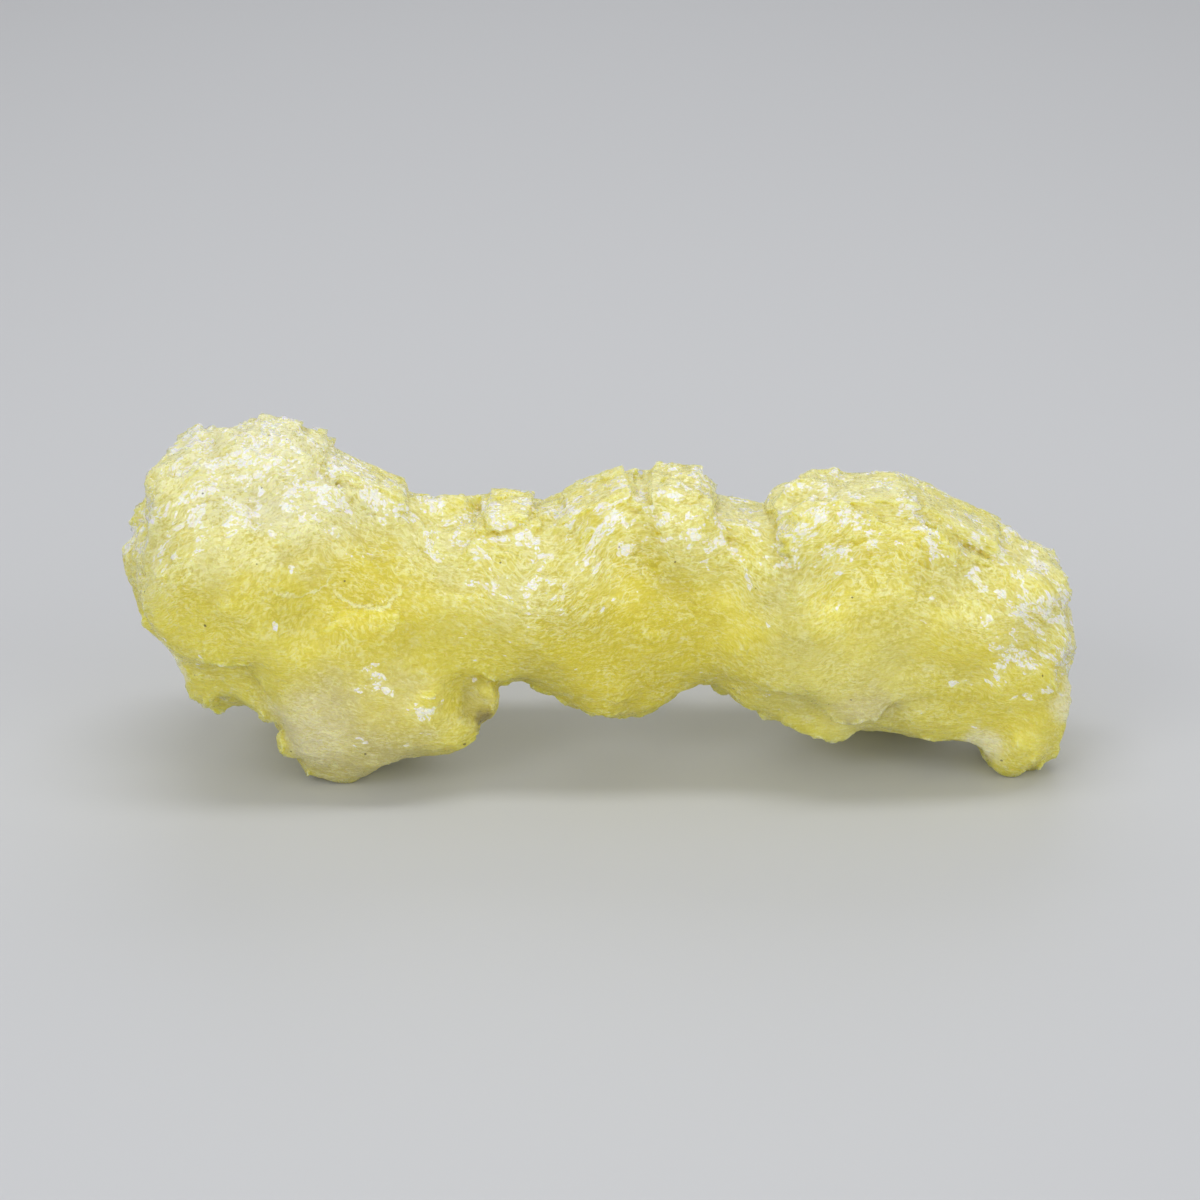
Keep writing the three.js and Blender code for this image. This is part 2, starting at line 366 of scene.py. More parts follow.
# %% [markdown]
# ## Laying the plates
# The plates lie on the body like roof tiles. They follow its surface, but lean a little towards the
# bedding, so that one edge of each stands proud. Thousands by hand are out of the question, and a
# plain array can't follow the lumps. A Geometry Nodes tree scatters points an even distance apart,
# turns a plate at each, and makes real mesh of them. To find such points it tries a few times as many,
# and keeps those that have room. There are none under the feet.

# %% Helpers for Geometry Nodes


def random_between(tree, least, most, seed):
    """A random number or vector for each plate."""
    kind = "FLOAT_VECTOR" if isinstance(least, tuple) else "FLOAT"
    node = add(tree, "FunctionNodeRandomValue", data_type=kind)
    first = 0 if kind == "FLOAT_VECTOR" else 2
    node.inputs[first].default_value = least
    node.inputs[first + 1].default_value = most
    node.inputs["Seed"].default_value = seed
    return node.outputs[0 if kind == "FLOAT_VECTOR" else 1]


def new_tree(name):
    """An empty Geometry Nodes tree, with the nodes where the mesh comes in and goes out."""
    tree = bpy.data.node_groups.new(name, "GeometryNodeTree")
    for side in ("INPUT", "OUTPUT"):
        tree.interface.new_socket("Geometry", in_out=side, socket_type="NodeSocketGeometry")
    return tree, tree.nodes.new("NodeGroupInput"), tree.nodes.new("NodeGroupOutput")


SOLE = (0.6 * MM, 1.8 * MM)


def off_the_floor(tree, place):
    """0 at the floor, 1 from a little above it."""
    return ramp(tree, parts_of(tree, place)["Z"], *SOLE)


# %% Which way each plate lies
UP = (0.0, 0.0, 1.0)
SWAY = 2.0
LEAN = 0.08
TUMBLE = 0.05
SPIN = 0.5


def turned(tree, place, normal, seed):
    """The turn of each plate: flat on the surface, leaning a little, with its length in the bedding."""
    bedding = vector_sum(tree, "ADD", swirl(tree, place, BEDDING_WAVES[0][0], 1.0, SWAY), UP)
    facing = vector_sum(tree, "ADD", vector_sum(tree, "SCALE", bedding, LEAN), normal)
    tumble = random_between(tree, (-TUMBLE,) * 3, (TUMBLE,) * 3, seed + 1)
    facing = vector_sum(tree, "ADD", facing, tumble)
    along = vector_sum(tree, "CROSS_PRODUCT", bedding, facing)
    turn = add(tree, "FunctionNodeAlignRotationToVector", [("Vector", facing)], axis="Z")
    turn = add(tree, "FunctionNodeAlignRotationToVector",
               [("Vector", along), ("Rotation", turn.outputs[0])], axis="X", pivot_axis="Z")
    spin = random_between(tree, (0.0, 0.0, -SPIN), (0.0, 0.0, SPIN), seed + 2)
    spin = add(tree, "FunctionNodeEulerToRotation", [("Euler", spin)])
    turn = add(tree, "FunctionNodeRotateRotation",
               [("Rotation", turn.outputs[0]), ("Rotate By", spin.outputs[0])],
               rotation_space="LOCAL")
    return turn.outputs[0]


# %% A course of plates on the body
APART = 0.9 * MM
TRIED_POINTS = 4
LENGTHS = (1.1 * MM, 2.6 * MM)
THICKNESS = 0.155 * MM
SEED = 11


def course_of_plates():
    """A tree that covers a mesh with plates, and keeps the mesh under them."""
    tree, start, end = new_tree("course_of_plates")
    place = add(tree, "GeometryNodeInputPosition").outputs[0]
    points = add(tree, "GeometryNodeDistributePointsOnFaces",
                 [("Mesh", start.outputs[0])], distribute_method="POISSON",
                 Distance_Min=APART, Density_Max=TRIED_POINTS / APART**2, Seed=SEED)
    tree.links.new(off_the_floor(tree, place), points.inputs["Density Factor"])
    size = random_between(tree, *LENGTHS, SEED + 3)
    size = add(tree, "ShaderNodeCombineXYZ", [("X", size), ("Y", size)], Z=THICKNESS)
    shapes = add(tree, "GeometryNodeCollectionInfo", Collection=plates)
    shapes.inputs["Separate Children"].default_value = True
    shapes.inputs["Reset Children"].default_value = True
    laid = add(tree, "GeometryNodeInstanceOnPoints",
               [("Points", points.outputs["Points"]), ("Instance", shapes.outputs[0]),
                ("Rotation", turned(tree, place, points.outputs["Normal"], SEED)),
                ("Scale", size.outputs[0])])
    laid.inputs["Pick Instance"].default_value = True
    real = add(tree, "GeometryNodeRealizeInstances", [("Geometry", laid.outputs[0])])
    joined = add(tree, "GeometryNodeJoinGeometry", [("Geometry", real.outputs[0])])
    tree.links.new(start.outputs[0], joined.inputs[0])
    tree.links.new(joined.outputs[0], end.inputs[0])
    return tree


bare = triangles_of(skin)
finish_with(skin, "NODES", node_group=course_of_plates())
print("the plates have", triangles_of(skin) - bare, "triangles")

# %% [markdown]
# ## Slabs along the tops
# Along the tops lie stacks of thick sheets with square, broken ends, and they draw the outline of the
# growth. Smoothing has rounded them, so they are modelled again. Each sheet starts as a unit box, is
# subdivided, and has its points pushed about. Only then is it made long and thin, so its outline gets
# ragged while its faces stay flat. The lower sheets of a stack reach further than the upper ones, and
# each has its own small turn. Slabs come after the plates, so that their ends stay sharp.

# %% One sheet of a slab
SLAB_SHEET = 0.7 * MM
STEPS = (-0.2 * MM, 0.3 * MM, 0.7 * MM, 1.2 * MM)
SHEET_CUTS = 5
RAGGED_EDGE = 0.07
SHEET_SEED = 90
TURN = math.radians(7)


def slab_sheet(start, end, front, back, number):
    """One thick sheet under a line from start to end, in millimetres. Sheet 0 is the topmost."""
    first, last = (Vector((x * MM, 0, z * MM)) for x, z in (start, end))
    along = (last - first).normalized()
    down = Vector((along.z, 0, -along.x))
    bpy.ops.mesh.primitive_cube_add(size=1)
    sheet = bpy.context.object
    bpy.ops.object.mode_set(mode="EDIT")
    bpy.ops.mesh.select_all(action="SELECT")
    bpy.ops.mesh.subdivide(number_cuts=SHEET_CUTS)
    bpy.ops.transform.vertex_random(offset=RAGGED_EDGE, uniform=1.0,
                                    seed=int(SHEET_SEED + start[0]) + number)
    bpy.ops.object.mode_set(mode="OBJECT")
    sheet.scale = ((last - first).length + 2 * STEPS[number],
                   (back - front) * MM + 2 * STEPS[number], SLAB_SHEET)
    sheet.rotation_euler = (0, -math.atan2(along.z, along.x), TURN * math.sin(start[0] + 2 * number))
    sheet.location = (first + last) / 2 + down * (number + 0.5) * SLAB_SHEET
    sheet.location.y = (back + front) / 2 * MM
    bpy.ops.object.transform_apply(location=True, rotation=True, scale=True)
    return sheet


# %% Slabs along the tops
# Each slab is the start and end of its top line, in X and Z, and where its front and back lie in Y.
SLABS = (((-48.6, 37.2), (-45.6, 38.8), -3, 5), ((-41.2, 38.9), (-31.4, 37.4), -3, 6),
         ((-39.6, 39.7), (-34.4, 38.9), -2, 5.5), ((-30.6, 36.3), (-22.2, 32.1), -3, 4),
         ((-13.0, 31.1), (-7.8, 30.9), -5, 4), ((-4.2, 31.0), (2.9, 34.0), -5, 4),
         ((5.8, 34.0), (11.6, 33.9), -6.5, 4), ((13.0, 30.6), (20.8, 29.0), -6, 4),
         ((22.4, 31.0), (26.0, 32.7), -6, 4), ((25.4, 32.9), (35.0, 33.3), -6, 4),
         ((35.4, 32.7), (45.8, 27.7), -5, 4), ((47.6, 25.4), (53.2, 23.4), -5, 4))
sheets = [slab_sheet(*slab, number) for slab in SLABS for number in range(len(STEPS))]
only(skin)
for sheet in sheets:
    sheet.select_set(True)
bpy.ops.object.join()
print("laid", len(SLABS), "slabs of", len(STEPS), "sheets each")

# %% [markdown]
# ## One skin
# On the real stone, plates and slabs aren't glued on: they are the stone. Loose plates would also stop
# the light at each of their walls. A fine voxel remesh melts plates, slabs and body into one closed
# skin, so that light can soak through all of it, and the plates' rims stay as low steps.

# %% One skin
SKIN_CELL = 0.21 * MM
for leaf in list(plates.objects):
    bpy.data.objects.remove(leaf)
bpy.data.collections.remove(plates)
skin.data.materials.clear()
finish_with(skin, "REMESH", mode="VOXEL", voxel_size=SKIN_CELL)
print("the fine skin has", triangles_of(skin), "triangles")

# %% [markdown]
# ## Ledges
# Where stacked sheets end at the surface they make low ledges, clearer towards the tops. Each one
# steps out at its upper edge and fades downwards. Bump alone would leave the outline smooth, so the
# skin itself is moved, by a saw-tooth of the height in the bedding. Clouds break the ledges up.

# %% Ledges
SHEET = 0.36 * MM
LEDGE_SHEETS = 3.6
LEDGE_DEPTH = (0.08 * MM, 0.32 * MM)
LEDGE_GAPS = 2.4 * MM
LEDGE_BROKEN = (0.40, 0.62)
TOPS_FROM, TOPS_TO = -15 * MM, -4 * MM


def ledges():
    """A tree that steps a skin out along the bedding."""
    tree, start, end = new_tree("ledges")
    place = add(tree, "GeometryNodeInputPosition").outputs[0]
    normal = add(tree, "GeometryNodeInputNormal").outputs[0]
    sheets = sum_of(tree, "DIVIDE", in_bedding(tree, place), LEDGE_SHEETS * SHEET)
    step = sum_of(tree, "SUBTRACT", sum_of(tree, "FRACT", sheets), 0.5)
    broken = ramp(tree, clouds(tree, place, LEDGE_GAPS, 1.0), *LEDGE_BROKEN)
    step = times(tree, step, times(tree, broken, off_the_floor(tree, place)))
    depth = ramp(tree, below_top(tree, place), TOPS_FROM, TOPS_TO, *LEDGE_DEPTH)
    out = vector_sum(tree, "SCALE", normal, times(tree, step, depth))
    moved = add(tree, "GeometryNodeSetPosition", [("Geometry", start.outputs[0]), ("Offset", out)])
    tree.links.new(moved.outputs[0], end.inputs[0])
    return tree


finish_with(skin, "NODES", node_group=ledges())
print("ledges every", round(LEDGE_SHEETS * SHEET / MM, 2), "mm of bedding")

# %% [markdown]
# ## Feet on the floor
# Drawing the body in lifted its soles a little off the floor, and a stone rests on its feet. A flat cut
# would leave them hanging, so this step lets them down again and makes the soles flat where they touch.
# The rest comes down by less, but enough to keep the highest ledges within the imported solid's height.

# %% Feet on the floor
FOOT_DROP = 0.24 * MM
TOP_DROP = 0.12 * MM
FOOT_REACH = (0.8 * MM, 4 * MM)


def settled():
    """A tree that lets the feet down to the floor and makes their soles flat."""
    tree, start, end = new_tree("settled")
    parts = parts_of(tree, add(tree, "GeometryNodeInputPosition").outputs[0])
    drop = ramp(tree, parts["Z"], *FOOT_REACH, FOOT_DROP, TOP_DROP)
    lower = sum_of(tree, "MAXIMUM", sum_of(tree, "SUBTRACT", parts["Z"], drop), 0.0)
    place = add(tree, "ShaderNodeCombineXYZ", [("X", parts["X"]), ("Y", parts["Y"]), ("Z", lower)])
    moved = add(tree, "GeometryNodeSetPosition",
                [("Geometry", start.outputs[0]), ("Position", place.outputs[0])])
    tree.links.new(moved.outputs[0], end.inputs[0])
    return tree


finish_with(skin, "NODES", node_group=settled())
heights = [point.co.z / MM for point in skin.data.vertices]
print("the skin reaches from", round(min(heights), 2), "to", round(max(heights), 2), "mm")

# %% [markdown]
# ## A lighter mesh
# Where plates closed in a little air, the skin has a bubble inside that nobody sees, so all that isn't
# linked to its highest point is deleted. What is left has far more triangles than its forms need.
# Decimate keeps them on the rims of plates and ledges and saves them on the flats. Shading by angle
# then keeps the sharper rims crisp.

# %% No bubbles
only(skin)
highest = max(skin.data.vertices, key=lambda point: point.co.z).index
bpy.context.tool_settings.mesh_select_mode = (True, False, False)
bpy.ops.object.mode_set(mode="EDIT")
bpy.ops.mesh.select_all(action="DESELECT")
bpy.ops.object.mode_set(mode="OBJECT")
skin.data.vertices[highest].select = True
bpy.ops.object.mode_set(mode="EDIT")
bpy.ops.mesh.select_linked()
bpy.ops.mesh.select_all(action="INVERT")
bpy.ops.mesh.delete(type="VERT")
bpy.ops.object.mode_set(mode="OBJECT")
print("without bubbles it has", triangles_of(skin), "triangles")

# %% A lighter mesh
SKIN_LIMIT = 195000
CRISP_ANGLE = math.radians(38)
finish_with(skin, "DECIMATE", ratio=SKIN_LIMIT / triangles_of(skin))
only(skin)
bpy.ops.object.shade_smooth_by_angle(angle=CRISP_ANGLE)
print("the skin has", triangles_of(skin), "triangles")

# %% [markdown]
# ## Light that soaks in
# Brucite isn't clear: light enters, scatters, and leaves again a few millimetres away. A paler colour
# would lighten the whole stone, but not make it glow at its edges. The subsurface part of the shader
# follows the light inside. Red and green travel further than blue, which is why thin edges and
# feet seem to glow yellow. Its index of refraction sets how strongly flakes mirror a lamp. The specular
# level is a little under its usual 0.5, since a worn skin mirrors less than a polished face.

# %% Light that soaks in
SOAK = 4.5 * MM
SOAK_SHARES = (1.0, 0.9, 0.35)
REFRACTION = 1.57
WORN_MIRROR = 0.4
brucite = bpy.data.materials.new("brucite")
brucite.use_nodes = True
stone = brucite.node_tree
shader = stone.nodes["Principled BSDF"]
shader.inputs["IOR"].default_value = REFRACTION
shader.inputs["Specular IOR Level"].default_value = WORN_MIRROR
shader.inputs["Subsurface Weight"].default_value = 1.0
shader.inputs["Subsurface Radius"].default_value = SOAK_SHARES
shader.inputs["Subsurface Scale"].default_value = SOAK
print("light soaks in by up to", SOAK / MM, "mm")

# %% [markdown]
# ## Where on the stone
# All patterns are worked out from the place on the stone, so none of them slides, stretches or shows
# a seam. A first cell gathers what they share: the place, its height in the bedding, how near the
# tops it is, and a place that wavers a little, which keeps the outlines of flakes from being straight.

# %% Where on the stone
WAVER_PERIOD, WAVER_DETAIL, WAVER_PUSH = 0.9 * MM, 2.0, 0.45 * MM
place = add(stone, "ShaderNodeTexCoord").outputs["Object"]
height = in_bedding(stone, place)
from_top = below_top(stone, place)
upper = ramp(stone, from_top, TOPS_FROM, TOPS_TO)
waver = swirl(stone, place, WAVER_PERIOD, WAVER_DETAIL, WAVER_PUSH)
wavering = vector_sum(stone, "ADD", place, waver)
bend = add(stone, "ShaderNodeNewGeometry").outputs["Pointiness"]
print("the finish has", len(stone.nodes), "nodes so far")

# %% [markdown]
# ## Helpers for the finish
# The finish needs a few kinds of mask, each 0 where a colour is absent and 1 where it is full: a
# ragged patch round a place, the thin rim of a sheet that curls under a place, and little flakes.
# Every patch could have clouds of its own for its outline, but clouds take much of the render time,
# so patches of about one size share theirs. A pattern lies flat in the bedding when its height is
# counted there instead of straight up. Clouds are named by a period, a detail and a roughness.

# %% Helpers for patches
SMALL_PATCH = 2.5
RAGGED_PERIOD, RAGGED_DETAIL, RAGGED_ROUGHNESS = 0.8, 4.0, 0.65
RAGGED_BY = 0.9
SOFT_EDGE = 0.5
ragged_clouds = {}


def ragged(radius):
    """Clouds for the outline of a patch of about this radius, in millimetres."""
    size = SMALL_PATCH * 2 ** round(math.log2(radius / SMALL_PATCH))
    if size not in ragged_clouds:
        ragged_clouds[size] = clouds(stone, place, size * MM * RAGGED_PERIOD, RAGGED_DETAIL,
                                     RAGGED_ROUGHNESS)
    return ragged_clouds[size]


def spot(centre, radius):
    """A soft ragged patch round a centre, in millimetres: 1 inside and 0 outside."""
    far = vector_sum(stone, "DISTANCE", place, tuple(v * MM for v in centre))
    swing = radius * MM * RAGGED_BY
    rough = sum_of(stone, "MULTIPLY_ADD", ragged(radius), 2 * swing, -swing)
    far = sum_of(stone, "DIVIDE", sum_of(stone, "ADD", far, rough), radius * MM)
    return ramp(stone, far, 1 + SOFT_EDGE, 1 - SOFT_EDGE)


# %% Helpers for arcs and for mixing
CURL_CLOUDS = (1.6 * MM, 3.0, 0.6)
CURL_WAVER = 2.0
CURL_FADES, CURL_WHOLE = 0.4, 0.8
CURL_CORE = 0.3


def arc(centre, radius, breadth):
    """The thin ragged rim of a sheet that curls round under a centre, in millimetres."""
    far = vector_sum(stone, "DISTANCE", place, tuple(v * MM for v in centre))
    far = plus_times(stone, far, clouds(stone, place, *CURL_CLOUDS), CURL_WAVER * MM)
    off = sum_of(stone, "ABSOLUTE", sum_of(stone, "SUBTRACT", far, (radius + CURL_WAVER / 2) * MM))
    under = ramp(stone, parts_of(stone, place)["Z"], (centre[2] - CURL_FADES * radius) * MM,
                 (centre[2] - CURL_WHOLE * radius) * MM)
    return times(stone, ramp(stone, off, breadth * MM, CURL_CORE * breadth * MM), under)


def either(first, *others):
    """The stronger of several masks."""
    for other in others:
        first = sum_of(stone, "MAXIMUM", first, other)
    return first


def from_to(mask, at_0, at_1):
    """A number that goes from at_0, where a mask is 0, to at_1, where it is 1."""
    return ramp(stone, mask, 0.0, 1.0, at_0, at_1)


def painted(colour, amount, new_colour, strength=1.0):
    """A colour with a new one laid over it where a mask says so."""
    node = add(stone, "ShaderNodeMix", data_type="RGBA")
    feed(stone, node.inputs[0], times(stone, amount, strength))
    feed(stone, node.inputs[6], colour)
    feed(stone, node.inputs[7], new_colour)
    return node.outputs[2]


# %% Helpers for flakes
FLATTENED = 1.5


def flat_in_bedding(spot_on_stone, squeeze):
    """A place with its height counted in the bedding, and drawn out to flatten patterns."""
    parts = parts_of(stone, spot_on_stone)
    return add(stone, "ShaderNodeCombineXYZ", [("X", parts["X"]), ("Y", parts["Y"]),
                                               ("Z", times(stone, height, squeeze))]).outputs[0]


def flakes_of(breadth):
    """Little flakes: a random number for each, its tilt as a height, and how far its rim is."""
    there = flat_in_bedding(wavering, FLATTENED)
    cell = add(stone, "ShaderNodeTexVoronoi", [("Vector", there)], Scale=1 / breadth)
    rim = add(stone, "ShaderNodeTexVoronoi", [("Vector", there)], Scale=1 / breadth,
              feature="DISTANCE_TO_EDGE")
    lean = vector_sum(stone, "SUBTRACT", cell.outputs["Color"], MIDDLE)
    offset = vector_sum(stone, "SUBTRACT", there, cell.outputs["Position"])
    tilt = vector_sum(stone, "DOT_PRODUCT", offset, lean)
    return parts_of(stone, cell.outputs["Color"])["X"], tilt, rim.outputs["Distance"]


# %% [markdown]
# ## Broad colours
# Brucite from one pocket varies in colour: lemon yellow, and milky where the sheets have parted and
# air has got in. The belly and the dish at the left get a deeper yellow, a painted glow for the light
# that gathers inside these thick and hollow parts. The stone is paler towards all the tops, milky most
# of all at the left one, and a little milky low on the right lump. Large soft clouds keep the change
# from one to the next irregular. Linear colour values are used, so they are lower than what the eye
# expects.

# %% Broad colours
LEMON = (0.76, 0.68, 0.095, 1)
MILKY = (0.74, 0.71, 0.33, 1)
MILKIEST = (0.80, 0.78, 0.56, 1)
DEEP_YELLOW = (0.71, 0.61, 0.045, 1)
MILK_CLOUDS = (12 * MM, 3.0, 0.55)
PALER_AT_TOPS, MILK_AT_LEFT_TOP = 0.18, 0.4
MILK_FROM, MILK_TO = 0.45, 1.0
left_top = spot((-38, -5, 38), 11)
# Towards all the tops the stone is painted paler.
milk = plus_times(stone, clouds(stone, place, *MILK_CLOUDS), upper, PALER_AT_TOPS)
milk = plus_times(stone, milk, left_top, MILK_AT_LEFT_TOP)
colour = painted(LEMON, ramp(stone, milk, MILK_FROM, MILK_TO), MILKY)
# Painted glow: the belly and the dish at the left get a deeper yellow, for light gathered inside them.
painted_glow = either(spot((-25.8, -11, 26), 6.5), spot((3, -12, 14), 12), spot((4.5, -9, 25), 4.5))
colour = painted(colour, painted_glow, DEEP_YELLOW, 0.75)
colour = painted(colour, left_top, MILKIEST, 0.7)
colour = painted(colour, spot((29, -14, 13), 9), MILKY, 0.4)
print("the finish has", len(stone.nodes), "nodes so far")

# %% [markdown]
# ## Patches of other minerals
# The feet grew against the rock, and kept some of it: a greyish film on the left foot and under the
# right lump, and chalky crusts at the ends. They are ragged patches, laid on before the finer marks,
# so that rims and grain still show on them.

# %% Patches of other minerals
FILM = (0.60, 0.54, 0.30, 1)
CHALK = (0.98, 0.96, 0.88, 1)
film = either(spot((-29.5, -14, 7), 8.5), spot((30.5, -14.3, 9.5), 3.5))
colour = painted(colour, film, FILM, 0.68)
chalk = either(spot((44.2, -10.5, 4.5), 2.4), spot((-49, -5.2, 13), 2.4),
               times(stone, spot((-33, -15, 8), 4.5), 0.5), spot((53.5, -7.2, 9), 2.6))
colour = painted(colour, chalk, CHALK, 0.5)
print("the finish has", len(stone.nodes), "nodes so far")

# %% [markdown]
# ## Rims of the sheets
# Each sheet ends in a thin pale rim, because its edge scatters the light back. Rims are contour lines
# of the height in the bedding. Each flake holds its own share of that height and its own tilt, so
# the lines break off from flake to flake, as scales do. Where the mesh itself has a sharp rim,
# Pointiness is high, and a pale painted highlight runs along it. It is low in the creases between
# plates, where a deeper yellow is painted as shade.

# %% Rims of the sheets
FLAKE = 1.0 * MM
FLAKE_TILT = 0.5
GAP_CLOUDS = (1.4 * MM, 2.0, 0.6)
GAPS_LOW_DOWN, GAPS_AT_TOPS = 0.50, 0.36
number, tilt, edge = flakes_of(FLAKE)
own = plus_times(stone, plus_times(stone, height, number, SHEET), tilt, FLAKE_TILT)
within = sum_of(stone, "FRACT", sum_of(stone, "DIVIDE", own, SHEET))
gaps = clouds(stone, flat_in_bedding(place, FLATTENED), *GAP_CLOUDS)
gaps = sum_of(stone, "SUBTRACT", gaps, from_to(upper, GAPS_LOW_DOWN, GAPS_AT_TOPS))
whole = ramp(stone, gaps, 0.0, 0.14)
print("the finish has", len(stone.nodes), "nodes so far")

# %% The colour of the rims
PALE = (0.88, 0.86, 0.44, 1)
SHEET_RIM, FLAKE_RIM = (0.28, 0.10), (0.09, 0.05)
MESH_EDGE_HIGHLIGHT, MESH_CREASE_SHADE = (0.51, 0.58), (0.495, 0.43)
PALE_LOW_DOWN, PALE_AT_TOPS = 0.50, 0.80
rims = either(ramp(stone, within, *SHEET_RIM), ramp(stone, edge, *FLAKE_RIM))
# The pale line along sharp mesh edges is a painted highlight.
rims = either(times(stone, rims, whole), times(stone, ramp(stone, bend, *MESH_EDGE_HIGHLIGHT), 0.8))
colour = painted(colour, times(stone, rims, from_to(upper, PALE_LOW_DOWN, PALE_AT_TOPS)), PALE)
# Painted shade: the creases between plates get a deeper yellow.
colour = painted(colour, ramp(stone, bend, *MESH_CREASE_SHADE), DEEP_YELLOW, 0.4)
print("the finish has", len(stone.nodes), "nodes so far")

# %% [markdown]
# ## Two curled sheets
# Two larger sheets curl up below the dish at the left, and their rims draw two thin pale arcs. They
# are single features at known places, so each is an arc of its own.

# %% Two curled sheets
curls = either(arc((-25.8, -12, 27.2), 4.6, 0.30), arc((-33.5, -13, 29.0), 4.6, 0.20))
colour = painted(colour, curls, PALE, 0.85)
print("the finish has", len(stone.nodes), "nodes so far")

# %% [markdown]
# ## Grain
# Between the rims the stone is a mosaic of flakes much smaller than a millimetre, some paler and some
# deeper in colour. A fine cloud and a random number for each small flake are added up, because clouds
# alone look like mist, and flakes alone like tiles. The grain is stronger in some places than in
# others, as it is where a surface has weathered unevenly, and a little stronger at the tops.

# %% Grain
DEEP = (0.58, 0.505, 0.045, 1)
SMALL_FLAKE = 0.36 * MM
GRIT_FLATTENED = 1.6
GRIT_CLOUDS = (0.5 * MM, 2.0, 0.7)
FLAKE_SHARE = 0.30
UNEVEN_OVER = 5 * MM
PALE_GRAIN, DEEP_GRAIN = (0.50, 0.68), (0.50, 0.32)
small, small_tilt, small_edge = flakes_of(SMALL_FLAKE)
grit = clouds(stone, flat_in_bedding(place, GRIT_FLATTENED), *GRIT_CLOUDS)
mosaic = plus_times(stone, grit, sum_of(stone, "SUBTRACT", small, 0.5), FLAKE_SHARE)
uneven = ramp(stone, clouds(stone, place, UNEVEN_OVER), 0.35, 0.65, 0.45, 1.0)
uneven = times(stone, uneven, from_to(upper, 0.45, 0.6))
colour = painted(colour, times(stone, ramp(stone, mosaic, *PALE_GRAIN), uneven), PALE)
colour = painted(colour, times(stone, ramp(stone, mosaic, *DEEP_GRAIN), uneven), DEEP)
print("the finish has", len(stone.nodes), "nodes so far")

# %% [markdown]
# ## Flakes with painted highlights
# Where sheets are broken across, single flakes mirror the light and look white. That white is a
# painted highlight: it is laid into the colour of those flakes, besides their lower roughness. They
# come in clusters, along the tops and on the right end, and a few lie lower down. A flake is painted
# white when its random number beats a bar, and the bar is lower the denser the cluster is. The small
# flakes make each painted glint brighter here and duller there, so that no large flake is evenly white.

# %% Clusters of flakes with painted highlights
BAND_DEPTH = -10 * MM
CLUSTER = 2.6 * MM
IN_BAND, AT_ENDS = 0.20, 0.05
band = either(ramp(stone, from_top, BAND_DEPTH, TOPS_TO), spot((49, -6, 18), 9),
              spot((-25, -15.6, 15), 2.5), spot((-20, -15.6, 10), 3), spot((-46, -9, 16), 3),
              spot((-50, -5, 26), 3))
cluster = clouds(stone, flat_in_bedding(place, FLATTENED), CLUSTER)
cluster = plus_times(stone, cluster, band, IN_BAND)
for end_spot in (spot((-38, -5, 36), 10), spot((50, -6, 18), 8)):
    cluster = plus_times(stone, cluster, end_spot, AT_ENDS)
cluster = ramp(stone, cluster, 0.65, 0.84)
print("the finish has", len(stone.nodes), "nodes so far")

# %% Flakes with painted highlights
PAINTED_GLINT_WHITE = (0.99, 0.97, 0.94, 1)
LARGE_HELP, LITTLE_HELP = 0.52, 0.62
LARGE_BAR, LITTLE_BAR = (1.00, 1.04), (1.10, 1.20)
large = ramp(stone, plus_times(stone, number, cluster, LARGE_HELP), *LARGE_BAR)
large = times(stone, large, ramp(stone, edge, 0.03, 0.10))
little = ramp(stone, plus_times(stone, small, cluster, LITTLE_HELP), *LITTLE_BAR)
little = times(stone, little, ramp(stone, small_edge, 0.02, 0.08))
painted_glints = times(stone, either(large, little), from_to(small, 0.62, 1.0))
# The clusters are tinted pale: partly milky broken stone, partly painted sheen round the glinting
# flakes.
colour = painted(colour, cluster, PALE, 0.45)
# Painted highlights: the glinting flakes are painted white.
colour = painted(colour, painted_glints, PAINTED_GLINT_WHITE, 0.9)
print("the finish has", len(stone.nodes), "nodes so far")

# %% [markdown]
# ## Dirt
# One brown stain, with a soft halo, sits behind the left foot, and a few dark specks of dirt lie
# about. They could be set one by one, but a pattern of cells strews them over all sides at once. A
# speck is the middle of a cell, cut off at a size that differs from cell to cell. For half of the cells
# that size is below nought, so they have none.

# %% Dirt
STAIN = (0.22, 0.17, 0.09, 1)
SPECK = (0.10, 0.07, 0.03, 1)
SPECKS_APART = 2.2 * MM
SPECK_LIMIT = 0.08
colour = painted(colour, spot((-14.0, -10.5, 9.4), 2.6), STAIN, 0.35)
colour = painted(colour, spot((-13.2, -10.5, 7.9), 1.2), STAIN, 0.7)
cells = add(stone, "ShaderNodeTexVoronoi", [("Vector", wavering)], Scale=1 / SPECKS_APART)
speck_size = parts_of(stone, cells.outputs["Color"])["X"]
speck_size = sum_of(stone, "MULTIPLY_ADD", speck_size, 2 * SPECK_LIMIT, -SPECK_LIMIT)
specks = ramp(stone, sum_of(stone, "SUBTRACT", cells.outputs["Distance"], speck_size), 0.01, 0.0)
colour = painted(colour, specks, SPECK, 0.7)
stone.links.new(colour, shader.inputs["Base Color"])
print("the finish has", len(stone.nodes), "nodes so far")

# %% [markdown]
# ## Gloss and fine relief
# Whole brucite looks waxy, and fresh flakes are pearly, so the roughness drops where flakes glint and
# at the rims. What is finer than the mesh is bump: flakes with a tilt of their own, a stair of sheets,
# the two curls, and the grit. A stair's step would be a jump in height, and bump draws a harsh line
# there, so each sheet falls off over the last seventh of its thickness. Heights are real, in metres.

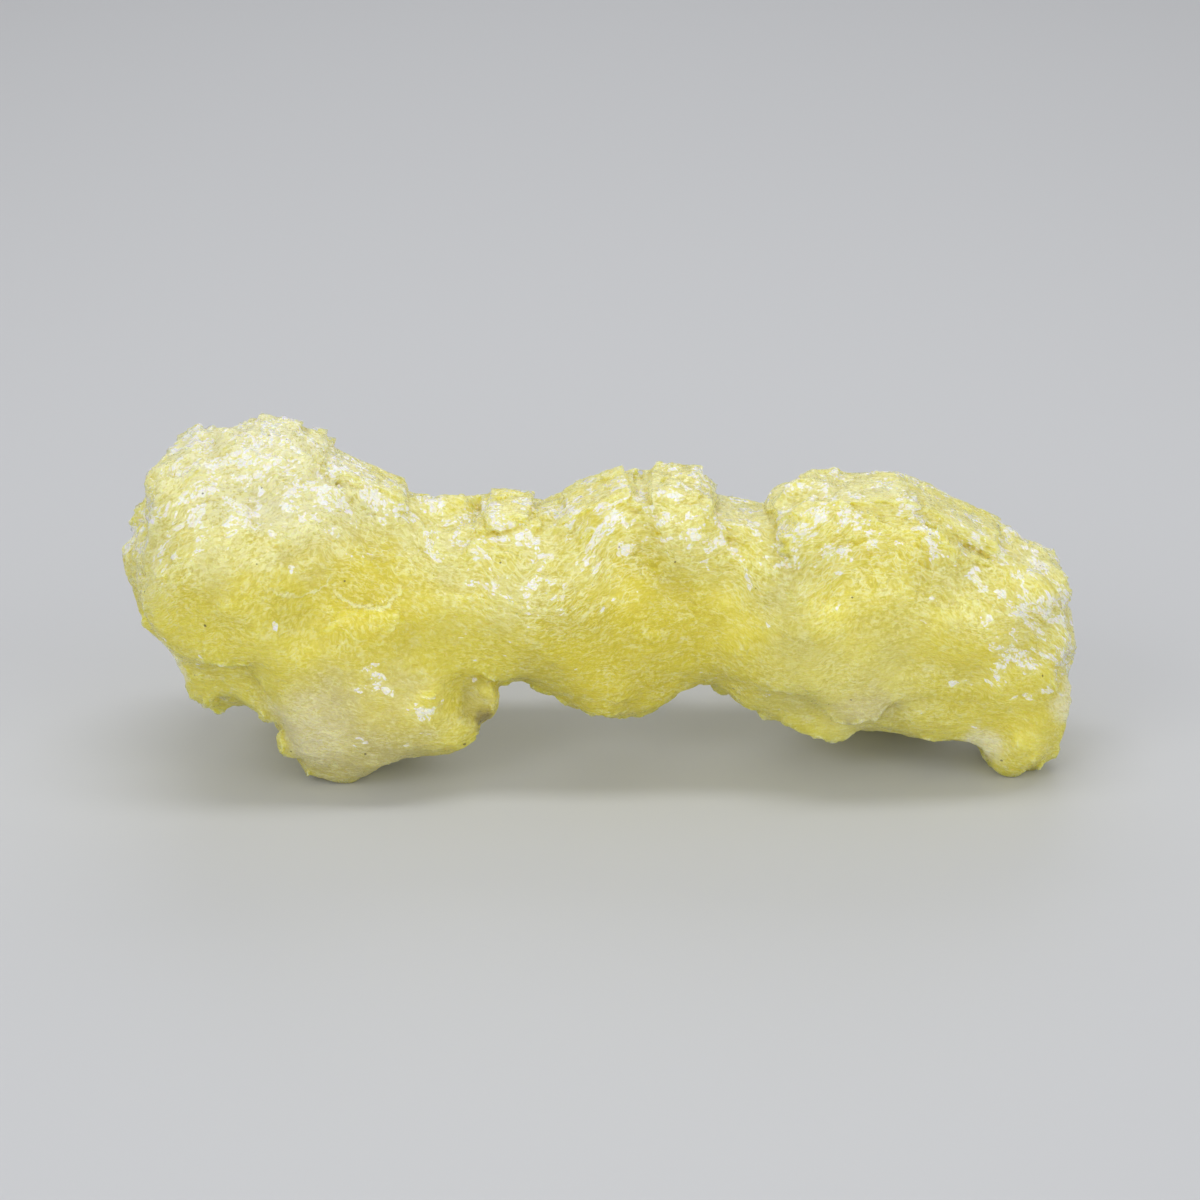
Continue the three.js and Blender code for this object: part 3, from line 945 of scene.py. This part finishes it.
# %% Gloss and fine relief
WAXY, PEARLY = 0.36, 0.14
STEP_FALL = 6.0
STAIR_STEP, CURL_RISE, GRIT_RISE = 0.06 * MM, 0.15 * MM, 0.05 * MM
SMALL_TILT, SMALL_TILT_IN_CLUSTERS = 0.12, 0.8
TILT_LOW_DOWN, TILT_AT_TOPS = 0.05, 0.28
stone.links.new(from_to(either(painted_glints, rims), WAXY, PEARLY), shader.inputs["Roughness"])
relief = times(stone, small_tilt, from_to(cluster, SMALL_TILT, SMALL_TILT_IN_CLUSTERS))
relief = plus_times(stone, relief, tilt, from_to(upper, TILT_LOW_DOWN, TILT_AT_TOPS))
fall = times(stone, sum_of(stone, "SUBTRACT", 1.0, within), STEP_FALL)
relief = plus_times(stone, relief, sum_of(stone, "MINIMUM", within, fall), STAIR_STEP)
relief = plus_times(stone, relief, curls, CURL_RISE)
relief = plus_times(stone, relief, grit, GRIT_RISE)
bump = add(stone, "ShaderNodeBump", [("Height", relief)], Strength=1.0, Distance=1.0)
stone.links.new(bump.outputs[0], shader.inputs["Normal"])
print("the finish has", len(stone.nodes), "nodes")

# %% [markdown]
# ## The skin takes its place
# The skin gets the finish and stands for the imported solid, which stays hidden for collisions. It
# doesn't move by itself, so it rides on the one body that there is.

# %% The skin takes its place
skin.data.materials.clear()
skin.data.materials.append(brucite)
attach(skin, "root")
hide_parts("brucite_growth")
print(skin.name, "carries", skin.data.materials[0].name)

# %% [markdown]
# ## The studio
# A pale floor and large soft lamps all round show a translucent stone without hard shadows. The lamps
# in front do most of the work. One overhead and one behind light the tops and the back. The room adds
# a little even light from everywhere, so that no hollow goes dark.

# %% The floor
FLOOR_COLOUR = (0.56, 0.57, 0.59, 1)
FLOOR_ROUGHNESS = 0.6
bpy.context.scene.view_settings.view_transform = "Standard"
bpy.ops.mesh.primitive_plane_add(size=4)
floor = bpy.context.object
floor.name = "floor"
pale_floor = bpy.data.materials.new("pale_floor")
pale_floor.use_nodes = True
floor_shader = pale_floor.node_tree.nodes["Principled BSDF"]
floor_shader.inputs["Base Color"].default_value = FLOOR_COLOUR
floor_shader.inputs["Roughness"].default_value = FLOOR_ROUGHNESS
floor.data.materials.append(pale_floor)
print("the floor is", round(floor.dimensions.x, 1), "m across")

# %% The lamps


def softbox(name, stand, size, power):
    """A rectangular area light that faces the specimen. Its place and size are in metres."""
    light = bpy.data.lights.new(name, "AREA")
    light.shape = "RECTANGLE"
    light.size, light.size_y = size
    light.energy = power
    lamp = bpy.data.objects.new(name, light)
    lamp.location = stand
    lamp.rotation_euler = (AIM - Vector(stand)).to_track_quat("-Z", "Y").to_euler()
    bpy.context.scene.collection.objects.link(lamp)


softbox("overhead", (0.0, 0.03, 0.5), (0.4, 0.10), 0.75)
softbox("front_left", (-0.45, -0.5, 0.40), (0.4, 0.4), 1.3)
softbox("front_right", (0.5, -0.45, 0.30), (0.5, 0.5), 1.15)
softbox("front_low", (0.0, -0.75, 0.22), (0.8, 0.25), 1.2)
softbox("behind", (0.0, 0.55, 0.40), (0.5, 0.3), 0.7)

# %% The light of the room
ROOM_COLOUR = (0.98, 0.98, 0.99, 1)
ROOM_LIGHT = 0.45
room = bpy.data.worlds.new("room")
room.use_nodes = True
walls = room.node_tree.nodes["Background"]
walls.inputs["Color"].default_value = ROOM_COLOUR
walls.inputs["Strength"].default_value = ROOM_LIGHT
bpy.context.scene.world = room
print("the room adds light of strength", ROOM_LIGHT)
